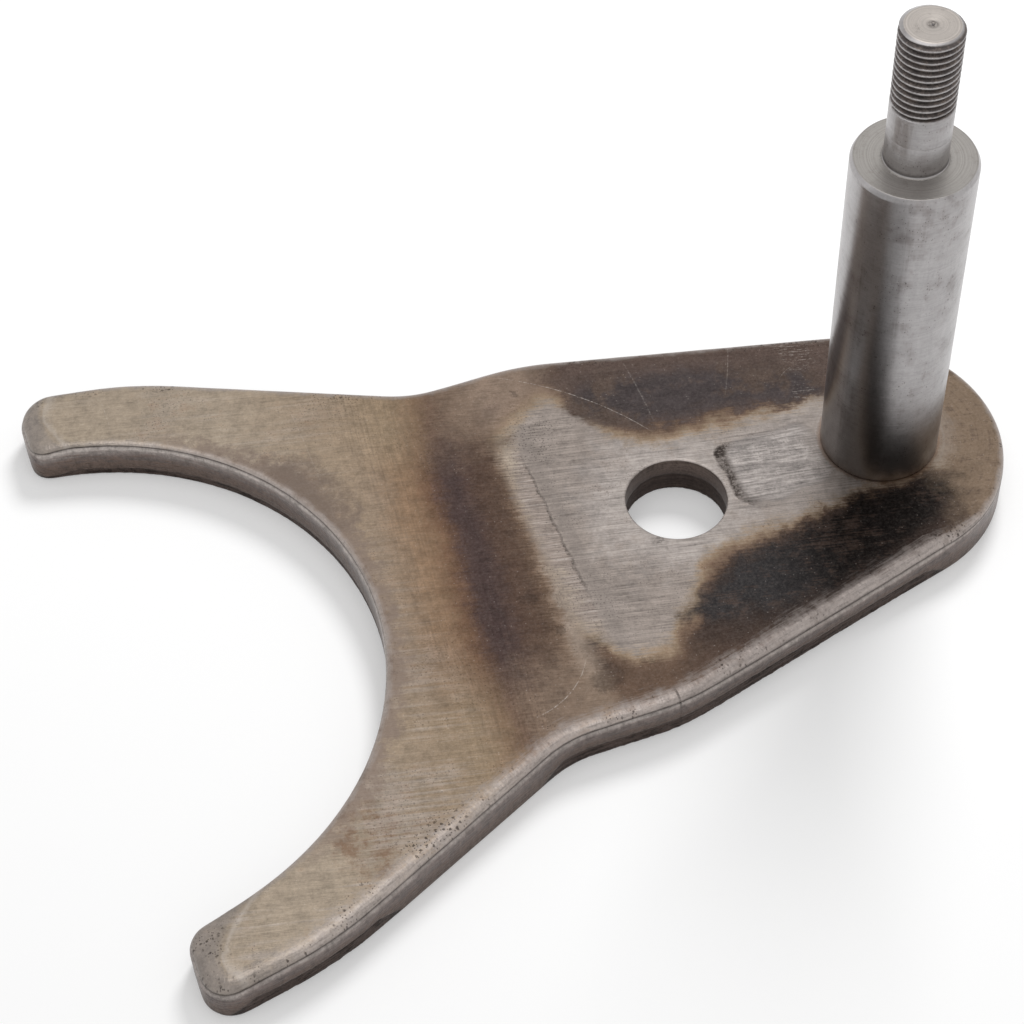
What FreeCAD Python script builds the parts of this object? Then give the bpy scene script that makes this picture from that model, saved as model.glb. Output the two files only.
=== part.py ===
import FreeCAD, Part
import math
import operator
import os
import Sketcher

# Shift fork: a blanked steel fork plate with a turned shift shaft standing on its round end.
# Frame: millimetres, Z up, origin on the shaft's axis in the plate's underside.
# The mouth opens towards -X, and the part is symmetric about the XZ plane.

# Driving dimensions, each written once and kept in the sheet under its alias
SIZES = {
    "plate_thickness": 8.7,
    # Plan of the plate, measured from the shaft's axis towards the mouth
    "end_radius": 28.7,
    "end_offset": 5.4,
    "guide_hole_distance": 41.8,
    "guide_hole_diameter": 19.15,
    "waist_start": 57.6,
    "waist_length": 22.6,
    "waist_width": 86.5,
    "waist_start_radius": 46.0,
    "waist_end_radius": 22.4,
    "mouth_distance": 158.5,
    "mouth_radius": 56.0,
    # Tips, measured back from the mouth's centre and outwards from its circle, and the
    # knees where the arms' outer sides turn towards them
    "tip_setback": 5.0,
    "tip_across": 15.1,
    "tip_length": 23.0,
    "tip_taper": 4.0,
    "arm_knee_radius": 64.0,
    "tip_outer_radius": 5.5,
    "tip_inner_radius": 4.0,
    # Upper edges of the plate, drawn in where it was blanked
    "edge_roll": 1.4,
    "guide_hole_roll": 0.4,
    "tip_slope_length": 6.5,
    "tip_slope_drop": 1.0,
    # Turned shaft, from the top of the plate to its shoulder
    "shaft_diameter": 22.225,
    "shaft_length": 72.2,
    "shaft_base_chamfer": 0.3,
    "shoulder_chamfer_depth": 0.5,
    "shoulder_chamfer_height": 0.9,
    # Stud above the shoulder
    "stud_diameter": 11.1125,
    "stud_length": 28.6,
    "stud_chamfer_depth": 1.0,
    "stud_chamfer_height": 0.55,
    "stud_neck_radius": 0.4,
    # Reduced end of the shaft, pressed into the plate and spread into a countersink
    "spigot_diameter": 15.875,
    "spigot_gap": 0.01,
    "rivet_head_depth": 1.6,
    "rivet_head_spread": 1.5,
}

# Places, sizes and volumes that differ by less than this count as the same
SAME = 0.001

doc = FreeCAD.newDocument("shift_fork")


class Measure:
    """A length worked out from the sheet, held as a number and as the matching expression."""

    def __init__(self, value, text):
        self.value = value
        self.text = text

    def combine(self, other, symbol, work):
        if not isinstance(other, Measure):
            other = Measure(other, str(other))
        return Measure(work(self.value, other.value), f"({self.text} {symbol} {other.text})")

    def __add__(self, other):
        return self.combine(other, "+", operator.add)

    def __sub__(self, other):
        return self.combine(other, "-", operator.sub)

    def __mul__(self, other):
        return self.combine(other, "*", operator.mul)

    def __truediv__(self, other):
        return self.combine(other, "/", operator.truediv)

    def __neg__(self):
        return Measure(-self.value, f"(-{self.text})")


def other_side(longest, side):
    """Second short side of a right-angled triangle."""
    squares = longest * longest - side * side
    return Measure(math.sqrt(squares.value), f"sqrt({squares.text})")


def make_sheet():
    """Write the driving dimensions into a sheet and return them as measures by alias."""
    sheet = doc.addObject("Spreadsheet::Sheet", "Sizes")
    for row, (alias, value) in enumerate(SIZES.items(), start=1):
        sheet.set(f"A{row}", alias)
        sheet.set(f"B{row}", str(value))
        sheet.setAlias(f"B{row}", alias)
    doc.recompute()
    return {alias: Measure(float(sheet.get(alias)), f"Sizes.{alias}") for alias in SIZES}


size = make_sheet()
ON_AXIS = Measure(0.0, "0")
shaft_radius = size["shaft_diameter"] / 2
spigot_radius = size["spigot_diameter"] / 2
stud_radius = size["stud_diameter"] / 2
hole_radius = size["guide_hole_diameter"] / 2
shoulder_level = size["plate_thickness"] + size["shaft_length"]
stud_top = shoulder_level + size["stud_length"]
tip_distance = size["mouth_distance"] - size["tip_setback"]
arm_knee_distance = tip_distance - size["tip_length"]


def new_body(label):
    body = doc.addObject("PartDesign::Body", label)
    body.Label = label
    return body


def new_sketch(body, name, role):
    """Add a sketch on one of the body's own origin planes."""
    plane = next(item for item in body.Origin.OriginFeatures if item.Role == role)
    sketch = body.newObject("Sketcher::SketchObject", name)
    sketch.AttachmentSupport = [(plane, "")]
    sketch.MapMode = "FlatFace"
    doc.recompute()
    return sketch


def bind(sketch, constraint, measure):
    """Add a sized constraint and tie it to the sheet."""
    index = sketch.addConstraint(constraint)
    sketch.setExpression(f"Constraints[{index}]", measure.text)


def fix_point(sketch, geometry, position, across, up):
    """Hold one sketch point at its measured place."""
    for kind, other_axis, measure in (("DistanceX", -2, across), ("DistanceY", -1, up)):
        if measure is ON_AXIS:
            sketch.addConstraint(Sketcher.Constraint("PointOnObject", geometry, position, other_axis))
        elif measure.value < 0:
            limits = (geometry, position, -1, 1)
            bind(sketch, Sketcher.Constraint(kind, *limits, -measure.value), -measure)
        else:
            limits = (-1, 1, geometry, position)
            bind(sketch, Sketcher.Constraint(kind, *limits, measure.value), measure)


def vector(across, up):
    return FreeCAD.Vector(across.value, up.value, 0)


def draw_polygon(sketch, corners):
    """Draw a closed outline of straight lines through measured corners."""
    places = [vector(*corner) for corner in corners]
    spans = zip(places, places[1:] + places[:1])
    lines = [sketch.addGeometry(Part.LineSegment(start, end)) for start, end in spans]
    for line, following in zip(lines, lines[1:] + lines[:1]):
        sketch.addConstraint(Sketcher.Constraint("Coincident", line, 2, following, 1))
    for line, (across, up) in zip(lines, corners):
        fix_point(sketch, line, 1, across, up)


def turn(body, kind, name, sketch):
    """Revolve a sketch once round the upright axis, to add or to cut, and see that it does."""
    before = body.Shape.Volume if body.Shape.Solids else 0.0
    feature = body.newObject(kind, name)
    feature.Profile = sketch
    feature.ReferenceAxis = (sketch, ["V_Axis"])
    feature.Angle = 360
    doc.recompute()
    if abs(feature.Shape.Volume - before) < SAME:
        raise RuntimeError(name + " changed nothing")


def cut_through(body, name, sketch):
    """Cut a sketched shape right through a body, both ways from its plane, and see that it cuts."""
    before = body.Shape.Volume
    pocket = body.newObject("PartDesign::Pocket", name)
    pocket.Profile = sketch
    pocket.Type = "ThroughAll"
    pocket.SideType = "Symmetric"
    doc.recompute()
    if pocket.Shape.Volume > before - SAME:
        raise RuntimeError(name + " removed nothing")


def fillet_edges(body, name, radius, wanted):
    """Round the edges of the body's last feature that a test picks out."""
    base = body.Tip
    edges = [f"Edge{index}" for index, edge in enumerate(base.Shape.Edges, start=1) if wanted(edge)]
    if not edges:
        raise RuntimeError(name + " found no edge")
    fillet = body.newObject("PartDesign::Fillet", name)
    fillet.Base = (base, edges)
    fillet.setExpression("Radius", radius.text)
    doc.recompute()


half_span = other_side(size["mouth_radius"], size["tip_setback"]) + size["tip_across"]

# Corners of the plate's plan on one side of its centre line, before they are rounded
CORNERS = {
    "waist_start": (-size["waist_start"], size["waist_width"] / 2),
    "waist_end": (-(size["waist_start"] + size["waist_length"]), size["waist_width"] / 2),
    "arm_knee": (-arm_knee_distance, half_span - size["tip_taper"]),
    "tip_outer": (-tip_distance, half_span),
}


def end_tangent():
    """Angle on the round end at which the tapering side leaves it."""
    across, up = CORNERS["waist_start"]
    run = across.value + size["end_offset"].value
    towards = math.atan2(up.value, run)
    return towards - math.acos(size["end_radius"].value / math.hypot(run, up.value))


def mouth_end():
    """Angle on the mouth's circle at which the flat tip meets it."""
    return math.acos(size["tip_setback"].value / size["mouth_radius"].value)


def on_circle(distance, radius, angle):
    """Plan point at an angle on a circle whose centre is a distance from the shaft."""
    centre = FreeCAD.Vector(-distance.value, 0, 0)
    return centre + FreeCAD.Vector(math.cos(angle), math.sin(angle), 0) * radius.value


def add_centred_arc(sketch, distance, radius, angle):
    """Draw an arc that spans the centre line, with its centre on it."""
    circle = Part.Circle(vector(-distance, ON_AXIS), FreeCAD.Vector(0, 0, 1), radius.value)
    arc = sketch.addGeometry(Part.ArcOfCircle(circle, -angle, angle))
    fix_point(sketch, arc, 3, -distance, ON_AXIS)
    bind(sketch, Sketcher.Constraint("Radius", arc, radius.value), radius)
    return arc


def draw_outline(sketch):
    """Draw the fork's plan: round end, tapering sides, waist, arms, flat tips and mouth."""
    end = add_centred_arc(sketch, size["end_offset"], size["end_radius"], end_tangent())
    mouth = add_centred_arc(sketch, size["mouth_distance"], size["mouth_radius"], mouth_end())
    touch = on_circle(size["end_offset"], size["end_radius"], end_tangent())
    inner = on_circle(size["mouth_distance"], size["mouth_radius"], mouth_end())
    for side, arc_end in ((1, 2), (-1, 1)):
        corners = [(across, up if side == 1 else -up) for across, up in CORNERS.values()]
        places = [FreeCAD.Vector(touch.x, side * touch.y, 0)]
        places += [vector(*corner) for corner in corners]
        places += [FreeCAD.Vector(inner.x, side * inner.y, 0)]
        spans = zip(places, places[1:])
        lines = [sketch.addGeometry(Part.LineSegment(start, end)) for start, end in spans]
        sketch.addConstraint(Sketcher.Constraint("Tangent", end, arc_end, lines[0], 1))
        for line, following in zip(lines, lines[1:]):
            sketch.addConstraint(Sketcher.Constraint("Coincident", line, 2, following, 1))
        sketch.addConstraint(Sketcher.Constraint("Coincident", lines[-1], 2, mouth, arc_end))
        sketch.addConstraint(Sketcher.Constraint("Vertical", lines[-1]))
        for line, corner in zip(lines, corners):
            fix_point(sketch, line, 2, *corner)


def stands_over(place):
    """Make a test for the upright edges over a plan point and over its mirror image."""
    def wanted(edge):
        low, high = edge.Vertexes[0].Point, edge.Vertexes[-1].Point
        upright = math.hypot(low.x - high.x, low.y - high.y) < SAME
        return upright and math.hypot(low.x - place.x, abs(low.y) - place.y) < SAME
    return wanted


def circle_at(radius, level):
    """Make a test for the round edges of one radius at one level."""
    def wanted(edge):
        if not isinstance(edge.Curve, Part.Circle):
            return False
        same_radius = abs(edge.Curve.Radius - radius.value) < SAME
        return same_radius and abs(edge.Curve.Center.z - level.value) < SAME
    return wanted


def upper_rim(plate):
    """Make a test for the edges along the top of a plate's upright walls."""
    middle = (plate.BoundBox.ZMin + plate.BoundBox.ZMax) / 2
    rim = []
    for face in plate.Faces:
        first_u, last_u, first_v, last_v = face.ParameterRange
        normal = face.normalAt((first_u + last_u) / 2, (first_v + last_v) / 2)
        if abs(normal.z) < SAME:
            rim += [edge for edge in face.Edges if edge.BoundBox.ZMin > middle]

    def wanted(edge):
        return any(edge.isSame(other) for other in rim)
    return wanted


def slope_the_tips(body):
    """Let the top of both tips fall away along an arc that starts level with the plate."""
    length, drop, top = size["tip_slope_length"], size["tip_slope_drop"], size["plate_thickness"]
    radius = (length * length + drop * drop) / (drop * 2)
    start = tip_distance - length
    sketch = new_sketch(body, "TipSlope", "XZ_Plane")
    circle = Part.Circle(vector(-start, top - radius), FreeCAD.Vector(0, 0, 1), radius.value)
    sweep = math.asin(length.value / radius.value)
    places = [vector(-tip_distance, top - drop), vector(-tip_distance, top), vector(-start, top)]
    arc = sketch.addGeometry(Part.ArcOfCircle(circle, math.pi / 2, math.pi / 2 + sweep))
    face_line = sketch.addGeometry(Part.LineSegment(places[0], places[1]))
    top_line = sketch.addGeometry(Part.LineSegment(places[1], places[2]))
    sketch.addConstraint(Sketcher.Constraint("Coincident", arc, 2, face_line, 1))
    sketch.addConstraint(Sketcher.Constraint("Coincident", face_line, 2, top_line, 1))
    sketch.addConstraint(Sketcher.Constraint("Tangent", top_line, 2, arc, 1))
    fix_point(sketch, face_line, 1, -tip_distance, top - drop)
    fix_point(sketch, face_line, 2, -tip_distance, top)
    fix_point(sketch, top_line, 2, -start, top)
    cut_through(body, "TipSlopeCut", sketch)


def spigot_profile(gap):
    """Half section of the shaft's spigot and its spread head, or of their seat with a gap."""
    return [
        (spigot_radius + size["rivet_head_spread"] + gap, ON_AXIS),
        (spigot_radius + gap, size["rivet_head_depth"]),
        (spigot_radius + gap, size["plate_thickness"]),
    ]


def make_plate():
    body = new_body("fork_plate")
    outline = new_sketch(body, "PlateOutline", "XY_Plane")
    draw_outline(outline)
    pad = body.newObject("PartDesign::Pad", "PlateBlank")
    pad.Profile = outline
    pad.setExpression("Length", size["plate_thickness"].text)
    doc.recompute()

    slope_the_tips(body)
    for name, corner in CORNERS.items():
        fillet_edges(body, f"Round_{name}", size[f"{name}_radius"], stands_over(vector(*corner)))
    inner = on_circle(size["mouth_distance"], size["mouth_radius"], mouth_end())
    fillet_edges(body, "Round_tip_inner", size["tip_inner_radius"], stands_over(inner))
    fillet_edges(body, "EdgeRoll", size["edge_roll"], upper_rim(body.Tip.Shape))

    hole_sketch = new_sketch(body, "GuideHole", "XY_Plane")
    hole_centre = vector(-size["guide_hole_distance"], ON_AXIS)
    circle = Part.Circle(hole_centre, FreeCAD.Vector(0, 0, 1), hole_radius.value)
    hole = hole_sketch.addGeometry(circle)
    fix_point(hole_sketch, hole, 3, -size["guide_hole_distance"], ON_AXIS)
    bind(hole_sketch, Sketcher.Constraint("Radius", hole, hole_radius.value), hole_radius)
    cut_through(body, "GuideHoleCut", hole_sketch)
    hole_rim = circle_at(hole_radius, size["plate_thickness"])
    fillet_edges(body, "GuideHoleRoll", size["guide_hole_roll"], hole_rim)

    seat = new_sketch(body, "SpigotSeat", "XZ_Plane")
    axis_ends = [(ON_AXIS, size["plate_thickness"]), (ON_AXIS, ON_AXIS)]
    draw_polygon(seat, spigot_profile(size["spigot_gap"]) + axis_ends)
    turn(body, "PartDesign::Groove", "SpigotSeatCut", seat)
    return body


def make_shaft():
    body = new_body("shift_shaft")
    section = new_sketch(body, "ShaftSection", "XZ_Plane")
    base, chamfer = size["plate_thickness"], size["shaft_base_chamfer"]
    corners = spigot_profile(ON_AXIS) + [
        (shaft_radius - chamfer, base),
        (shaft_radius, base + chamfer),
        (shaft_radius, shoulder_level - size["shoulder_chamfer_height"]),
        (shaft_radius - size["shoulder_chamfer_depth"], shoulder_level),
        (stud_radius, shoulder_level),
        (stud_radius, stud_top - size["stud_chamfer_height"]),
        (stud_radius - size["stud_chamfer_depth"], stud_top),
        (ON_AXIS, stud_top),
        (ON_AXIS, ON_AXIS),
    ]
    draw_polygon(section, corners)
    turn(body, "PartDesign::Revolution", "ShaftTurning", section)
    fillet_edges(body, "StudNeck", size["stud_neck_radius"], circle_at(stud_radius, shoulder_level))
    return body


def check_document(pieces):
    """Stop if any object failed to build or a piece is not one valid solid."""
    for item in doc.Objects:
        if "Invalid" in item.State or "Error" in item.State:
            raise RuntimeError(f"{item.Name} failed: {item.State}")
    for piece in pieces:
        if piece.Shape.isNull() or not piece.Shape.isValid() or len(piece.Shape.Solids) != 1:
            raise RuntimeError(f"{piece.Label} is not one valid solid")


pieces = [make_plate(), make_shaft()]
doc.recompute()
check_document(pieces)
os.makedirs("parts", exist_ok=True)
for piece in pieces:
    piece.Shape.exportStep(f"parts/{piece.Label}.step")
    box = piece.Shape.optimalBoundingBox()
    print(f"{piece.Label}: {box.XLength:.2f} x {box.YLength:.2f} x {box.ZLength:.2f} mm")
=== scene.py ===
import functools
import math
import bmesh
import bpy
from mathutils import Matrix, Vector, kdtree, noise


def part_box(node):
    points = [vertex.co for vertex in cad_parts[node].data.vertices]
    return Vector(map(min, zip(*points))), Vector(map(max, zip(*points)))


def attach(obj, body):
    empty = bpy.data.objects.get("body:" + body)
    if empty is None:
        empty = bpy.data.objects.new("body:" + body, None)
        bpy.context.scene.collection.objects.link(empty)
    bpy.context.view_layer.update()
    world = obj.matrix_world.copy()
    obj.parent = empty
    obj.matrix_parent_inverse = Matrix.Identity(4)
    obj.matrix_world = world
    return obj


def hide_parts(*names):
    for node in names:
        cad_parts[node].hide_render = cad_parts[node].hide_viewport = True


# Shift fork: a blanked plate with rolled edges and heat tint, and a turned shaft with a threaded stud.
# Shapes and patterns are worked out in millimetres. The near side is the one towards -Y.

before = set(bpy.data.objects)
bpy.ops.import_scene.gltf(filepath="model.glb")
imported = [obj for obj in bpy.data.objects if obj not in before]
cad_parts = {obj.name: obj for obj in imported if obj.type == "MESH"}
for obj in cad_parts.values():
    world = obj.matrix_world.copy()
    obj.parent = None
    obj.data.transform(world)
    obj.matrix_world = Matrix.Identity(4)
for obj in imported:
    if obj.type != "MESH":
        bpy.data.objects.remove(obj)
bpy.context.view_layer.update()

MM = 0.001
PLATE_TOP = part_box("fork_plate")[1].z / MM
TIP_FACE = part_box("fork_plate")[0].x / MM
STUD_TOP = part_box("shift_shaft")[1].z / MM
SHAFT_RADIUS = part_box("shift_shaft")[1].x / MM
MOUTH_CENTRE = Vector((-158.5, 0.0, 0.0))
MOUTH_RADIUS = 56.0
HOLE_CENTRE = (-41.8, 0.0, 0.0)
FULL_TURN = math.pi * 2
QUARTER_TURN = math.pi / 2
MERGE = 0.0001


# Pieces

def add_to_scene(name, content):
    thing = bpy.data.objects.new(name, content)
    bpy.context.scene.collection.objects.link(thing)
    return thing


def add_mesh(bm, name, finish):
    """Turn a worked mesh into an object with one finish."""
    mesh = bpy.data.meshes.new(name)
    bm.to_mesh(mesh)
    bm.free()
    mesh.materials.append(finish)
    return add_to_scene(name, mesh)


def finish_piece(bm, name, node, finish):
    """Turn a mesh worked in millimetres into the piece that stands for a CAD node."""
    bmesh.ops.scale(bm, vec=(MM, MM, MM), verts=bm.verts)
    for face in bm.faces:
        face.smooth = True
    piece = add_mesh(bm, name, finish)
    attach(piece, "root")
    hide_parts(node)
    return piece


def ripple(place, scale, level=0.0, seed=0.0):
    """Smooth random wave between about -1 and 1."""
    return noise.noise(Vector((place.x * scale + seed, place.y * scale - seed, level * scale)))


def blend(points, value):
    """Value of a broken line through points at a place along it."""
    if value <= points[0][0]:
        return points[0][1]
    for (left, low), (right, high) in zip(points, points[1:]):
        if value <= right:
            return low + (high - low) * (value - left) / (right - left)
    return points[-1][1]


# Plate: its plan is cut from the CAD node, and its walls are drawn down from the top ring by ring

STATION_GAP = 0.42
ROLL_STEPS = 7
BULGE_STEPS = 4
SHEAR_STEPS = 4
TORN_STEPS = 10
TORN_RUN_OUT = 6.0
TORN_DEPTH = 0.2
TEAR_LIP = 0.12
LOWER_EDGE = 0.3
FLAT_RING = 0.6
CREASE_DEPTH = 0.25
CREASE_HEIGHT = 0.18
HOLE_FLAT = 1.2
HOLE_ROLL = 0.5
HOLE_DROP = 0.4
HOLE_TORN = 0.8
HOLE_TEAR = 4.1
SEAT_SINK = 1.6
SEAT_SPREAD = 1.5
TOP_GRID = 1.5

# Each row also has a zone, by which the finish knows the stretches of a wall: 0 on the top, 0.5 at the end of
# the roll, 0.75 in the crease, 1 to 1.7 down the sheared band, and more than that where the wall is torn
TEAR_ZONE = 1.7

# Depth of the rolled edge on the near side, along the plate
NEAR_ROLL_DROPS = [
    (-151, 2.3), (-143, 1.55), (-95, 1.45), (-80, 1.15), (-62, 1.1), (-45, 1.8), (-15, 1.8), (2, 1.4),
]

# Width and depth of the roll, inset and bulge of the crease below it, how torn the lower wall is,
# how deep the tear starts, and how wide the edge is worn bright
EDGE_STYLES = {
    "near": {"width": 2.5, "drop": 1.6, "inset": 0.45, "bulge": 1.1, "torn": 1.0, "tear": 5.4, "rim": 4.0},
    "far": {"width": 1.5, "drop": 0.7, "inset": 0.2, "bulge": 0.8, "torn": 0.8, "tear": 5.8, "rim": 1.6},
    "end": {"width": 1.4, "drop": 1.0, "inset": 0.08, "bulge": 0.5, "torn": 0.0, "tear": 6.2, "rim": 1.2},
    "tip": {"width": 2.3, "drop": 1.6, "inset": 0.45, "bulge": 1.1, "torn": 0.0, "tear": 6.5, "rim": 5.5},
    "mouth": {"width": 1.4, "drop": 0.55, "inset": 0.3, "bulge": 0.9, "torn": 0.45, "tear": 6.9, "rim": 1.5},
}
STYLE_REACH = 14


class Station:
    """One place on a wall of the plate, with the way into the metal and the edge's style."""

    def __init__(self, place, inward):
        self.place = place
        self.inward = inward
        self.style = {}
        self.rows = []
        self.run = 0.0


def cad_copy(node):
    """Copy a CAD node's mesh in millimetres, with its loose triangles merged."""
    bm = bmesh.new()
    bm.from_mesh(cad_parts[node].data)
    bmesh.ops.scale(bm, vec=(1 / MM, 1 / MM, 1 / MM), verts=bm.verts)
    bmesh.ops.remove_doubles(bm, verts=bm.verts, dist=0.001)
    return bm


def cut_plan():
    """Cut the plate at mid height and keep only its loops, evenly divided and smooth."""
    bm = cad_copy("fork_plate")
    everything = bm.verts[:] + bm.edges[:] + bm.faces[:]
    bmesh.ops.bisect_plane(bm, geom=everything, plane_co=(0, 0, PLATE_TOP / 2), plane_no=(0, 0, 1),
                           clear_inner=True, clear_outer=True)
    bmesh.ops.remove_doubles(bm, verts=bm.verts, dist=STATION_GAP)
    by_cuts = {}
    for edge in bm.edges:
        by_cuts.setdefault(round(edge.calc_length() / STATION_GAP) - 1, []).append(edge)
    for cuts, edges in by_cuts.items():
        if cuts > 0:
            bmesh.ops.subdivide_edges(bm, edges=edges, cuts=cuts)
    for _ in range(3):
        bmesh.ops.smooth_vert(bm, verts=bm.verts, factor=0.5, use_axis_x=True, use_axis_y=True)
    return bm


def ordered_loops(bm):
    """Vertices of each closed loop, in order and anticlockwise seen from above."""
    loops, seen = [], set()
    for start in bm.verts:
        if start in seen:
            continue
        loop, previous, current = [], None, start
        while current not in seen:
            seen.add(current)
            loop.append(current)
            ways = [edge.other_vert(current) for edge in current.link_edges]
            following = ways[0] if ways[0] is not previous else ways[1]
            previous, current = current, following
        turns = [a.co.x * b.co.y - b.co.x * a.co.y for a, b in zip(loop, loop[1:] + loop[:1])]
        loops.append(loop if sum(turns) > 0 else loop[::-1])
    return sorted(loops, key=len, reverse=True)


def make_stations(loop, material_inside):
    stations = []
    for before, vertex, after in zip(loop[-1:] + loop[:-1], loop, loop[1:] + loop[:1]):
        along = (after.co - before.co).normalized()
        inward = Vector((-along.y, along.x))
        stations.append(Station(vertex.co.xy, inward if material_inside else -inward))
    for before, station in zip(stations, stations[1:]):
        station.run = before.run + (station.place - before.place).length
    return stations


def edge_kind(place):
    """Name the stretch of the outline that a place is on."""
    if abs((place - MOUTH_CENTRE.xy).length - MOUTH_RADIUS) < 0.4 and place.x > TIP_FACE + 2:
        return "mouth"
    if place.x < TIP_FACE + 1.5:
        return "tip"
    if place.x > 4:
        return "end"
    return "near" if place.y < 0 else "far"


def torn_here(kind, x):
    """Say whether the lower part of the wall is torn at a distance along the plate."""
    if kind == "near":
        return -81 < x < -4.5 or -144.5 < x < -122
    return kind == "mouth" or kind == "far" and (-72 < x < -12 or -140 < x < -96)


def style_outline(stations):
    """Give each station on the outline the style of its stretch, blended into its neighbours."""
    raw = []
    for station in stations:
        kind = edge_kind(station.place)
        style = dict(EDGE_STYLES[kind])
        if kind == "near":
            style["drop"] = blend(NEAR_ROLL_DROPS, station.place.x)
        if not torn_here(kind, station.place.x):
            style["torn"] = 0.0
        raw.append(style)
    count = len(stations)
    for index, station in enumerate(stations):
        window = [raw[(index + shift) % count] for shift in range(-STYLE_REACH, STYLE_REACH + 1)]
        station.style = {key: sum(style[key] for style in window) / len(window) for key in raw[0]}


def round_rows(steps, insets, depths, zones):
    """Rows down a rounded stretch, from the first inset, depth and zone to the last ones."""
    rows = []
    for step in range(steps + 1):
        share = step / steps
        shares = (math.sin(QUARTER_TURN * share), 1 - math.cos(QUARTER_TURN * share), share)
        rows.append(tuple(start + (end - start) * part
                          for (start, end), part in zip((insets, depths, zones), shares)))
    return rows


def sheared_rows(top, bottom, zone):
    """Rows down the smooth sheared band, which ends where the tear begins."""
    shares = [step / SHEAR_STEPS for step in range(1, SHEAR_STEPS)]
    return [(0.0, top + (bottom - top) * share, zone + (TEAR_ZONE - zone) * share) for share in shares]


def torn_rows(place, torn, tear, seed):
    """Rows of the wall below the tear: a ragged lip, then broken metal, then the lower edge."""
    last = PLATE_TOP - LOWER_EDGE
    line = tear + 0.35 * ripple(place, 0.16, seed=seed) + 0.2 * ripple(place, 0.7, seed=seed)
    line = min(last - 0.3, line + TORN_RUN_OUT * max(0.0, 0.45 - torn))
    rows = [(0.0, line - TEAR_LIP, TEAR_ZONE), (0.05 * torn, line, TEAR_ZONE + 0.3 * torn)]
    for step in range(TORN_STEPS):
        depth = line + TEAR_LIP + (last - line - TEAR_LIP) * step / (TORN_STEPS - 1)
        rough = 0.09 * ripple(place, 1.1, depth, seed) + 0.07 * ripple(place, 2.7, depth, seed)
        ledge = 0.12 * max(0.0, ripple(place, 0.12, depth * 6, seed + 9))
        rows.append((torn * (TORN_DEPTH + rough + ledge) + 0.02, depth, TEAR_ZONE + torn))
    rows.append((rows[-1][0] + LOWER_EDGE, PLATE_TOP, rows[-1][2]))
    return rows


def outline_rows(station):
    """Section of the outer wall from the flat top down, as insets and depths."""
    style = station.style
    width, drop, inset = style["width"], style["drop"], style["inset"]
    drop += 0.06 * ripple(station.place, 0.2)
    below = drop + 2 * CREASE_HEIGHT
    rows = [(width + FLAT_RING, 0.0, 0.0)] + round_rows(ROLL_STEPS, (width, inset), (0.0, drop), (0.0, 0.5))
    rows.append((inset + CREASE_DEPTH, drop + CREASE_HEIGHT, 0.75))
    rows += round_rows(BULGE_STEPS, (inset, 0.0), (below, below + style["bulge"]), (1.0, 1.3))
    torn = torn_rows(station.place, style["torn"], style["tear"], 3.0)
    return rows + sheared_rows(rows[-1][1], torn[0][1], 1.3) + torn


def hole_rows(station):
    """Section of the guide hole's wall: a small roll, a sheared band and a torn one."""
    rows = [(HOLE_FLAT, 0.0, 0.0)] + round_rows(ROLL_STEPS, (HOLE_ROLL, 0.0), (0.0, HOLE_DROP), (0.0, 1.0))
    torn = torn_rows(station.place, HOLE_TORN, HOLE_TEAR, 7.0)
    return rows + sheared_rows(HOLE_DROP, torn[0][1], 1.0) + torn


def seat_rows(station):
    """Section of the shaft's seat: plain, then countersunk at the underside."""
    return [(0.0, 0.0, 0.0), (0.0, PLATE_TOP - SEAT_SINK, 1.3), (SEAT_SPREAD, PLATE_TOP, 1.6)]


def place_ring(verts, stations, layers, row):
    station_layer, zone_layer = layers
    for vertex in verts:
        station = stations[vertex[station_layer]]
        inset, depth, vertex[zone_layer] = station.rows[row]
        spot = station.place + station.inward * inset
        vertex.co = (spot.x, spot.y, PLATE_TOP - depth)


def draw_wall(bm, loop, stations, layers):
    """Extrude a loop down its rows and return the edges of its first and last rings."""
    for index, vertex in enumerate(loop):
        vertex[layers[0]] = index
    ring = list({edge for vertex in loop for edge in vertex.link_edges})
    top_ring = ring
    place_ring(loop, stations, layers, 0)
    for row in range(1, len(stations[0].rows)):
        grown = bmesh.ops.extrude_edge_only(bm, edges=ring)["geom"]
        verts = [item for item in grown if isinstance(item, bmesh.types.BMVert)]
        place_ring(verts, stations, layers, row)
        added = set(verts)
        ring = [item for item in grown
                if isinstance(item, bmesh.types.BMEdge) and added.issuperset(item.verts)]
    return top_ring, ring


def on_grid(edge):
    """Say whether an edge lies along one of the lines that the top is divided by."""
    for axis in range(2):
        first, second = (vertex.co[axis] / TOP_GRID for vertex in edge.verts)
        if abs(first - second) < MERGE and abs(first - round(first)) < MERGE:
            return True
    return False


def divide_top(bm, faces):
    """Cut the flat top into even squares, so that it can be shaped."""
    geometry = faces + list({edge for face in faces for edge in face.edges})
    geometry += list({vertex for face in faces for vertex in face.verts})
    for axis in range(2):
        spots = [vertex.co[axis] for face in faces for vertex in face.verts]
        for line in range(math.ceil(min(spots) / TOP_GRID), math.floor(max(spots) / TOP_GRID) + 1):
            way = Vector((axis == 0, axis == 1, 0))
            where = way * line * TOP_GRID
            cut = bmesh.ops.bisect_plane(bm, geom=geometry, dist=MERGE, plane_co=where, plane_no=way)
            geometry = cut["geom"]
        faces = [item for item in geometry if isinstance(item, bmesh.types.BMFace)]
    flat = set(faces)
    inner = {edge for face in faces for edge in face.edges if flat.issuperset(edge.link_faces)}
    bmesh.ops.dissolve_edges(bm, edges=[edge for edge in inner if not on_grid(edge)], use_verts=False)


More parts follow.
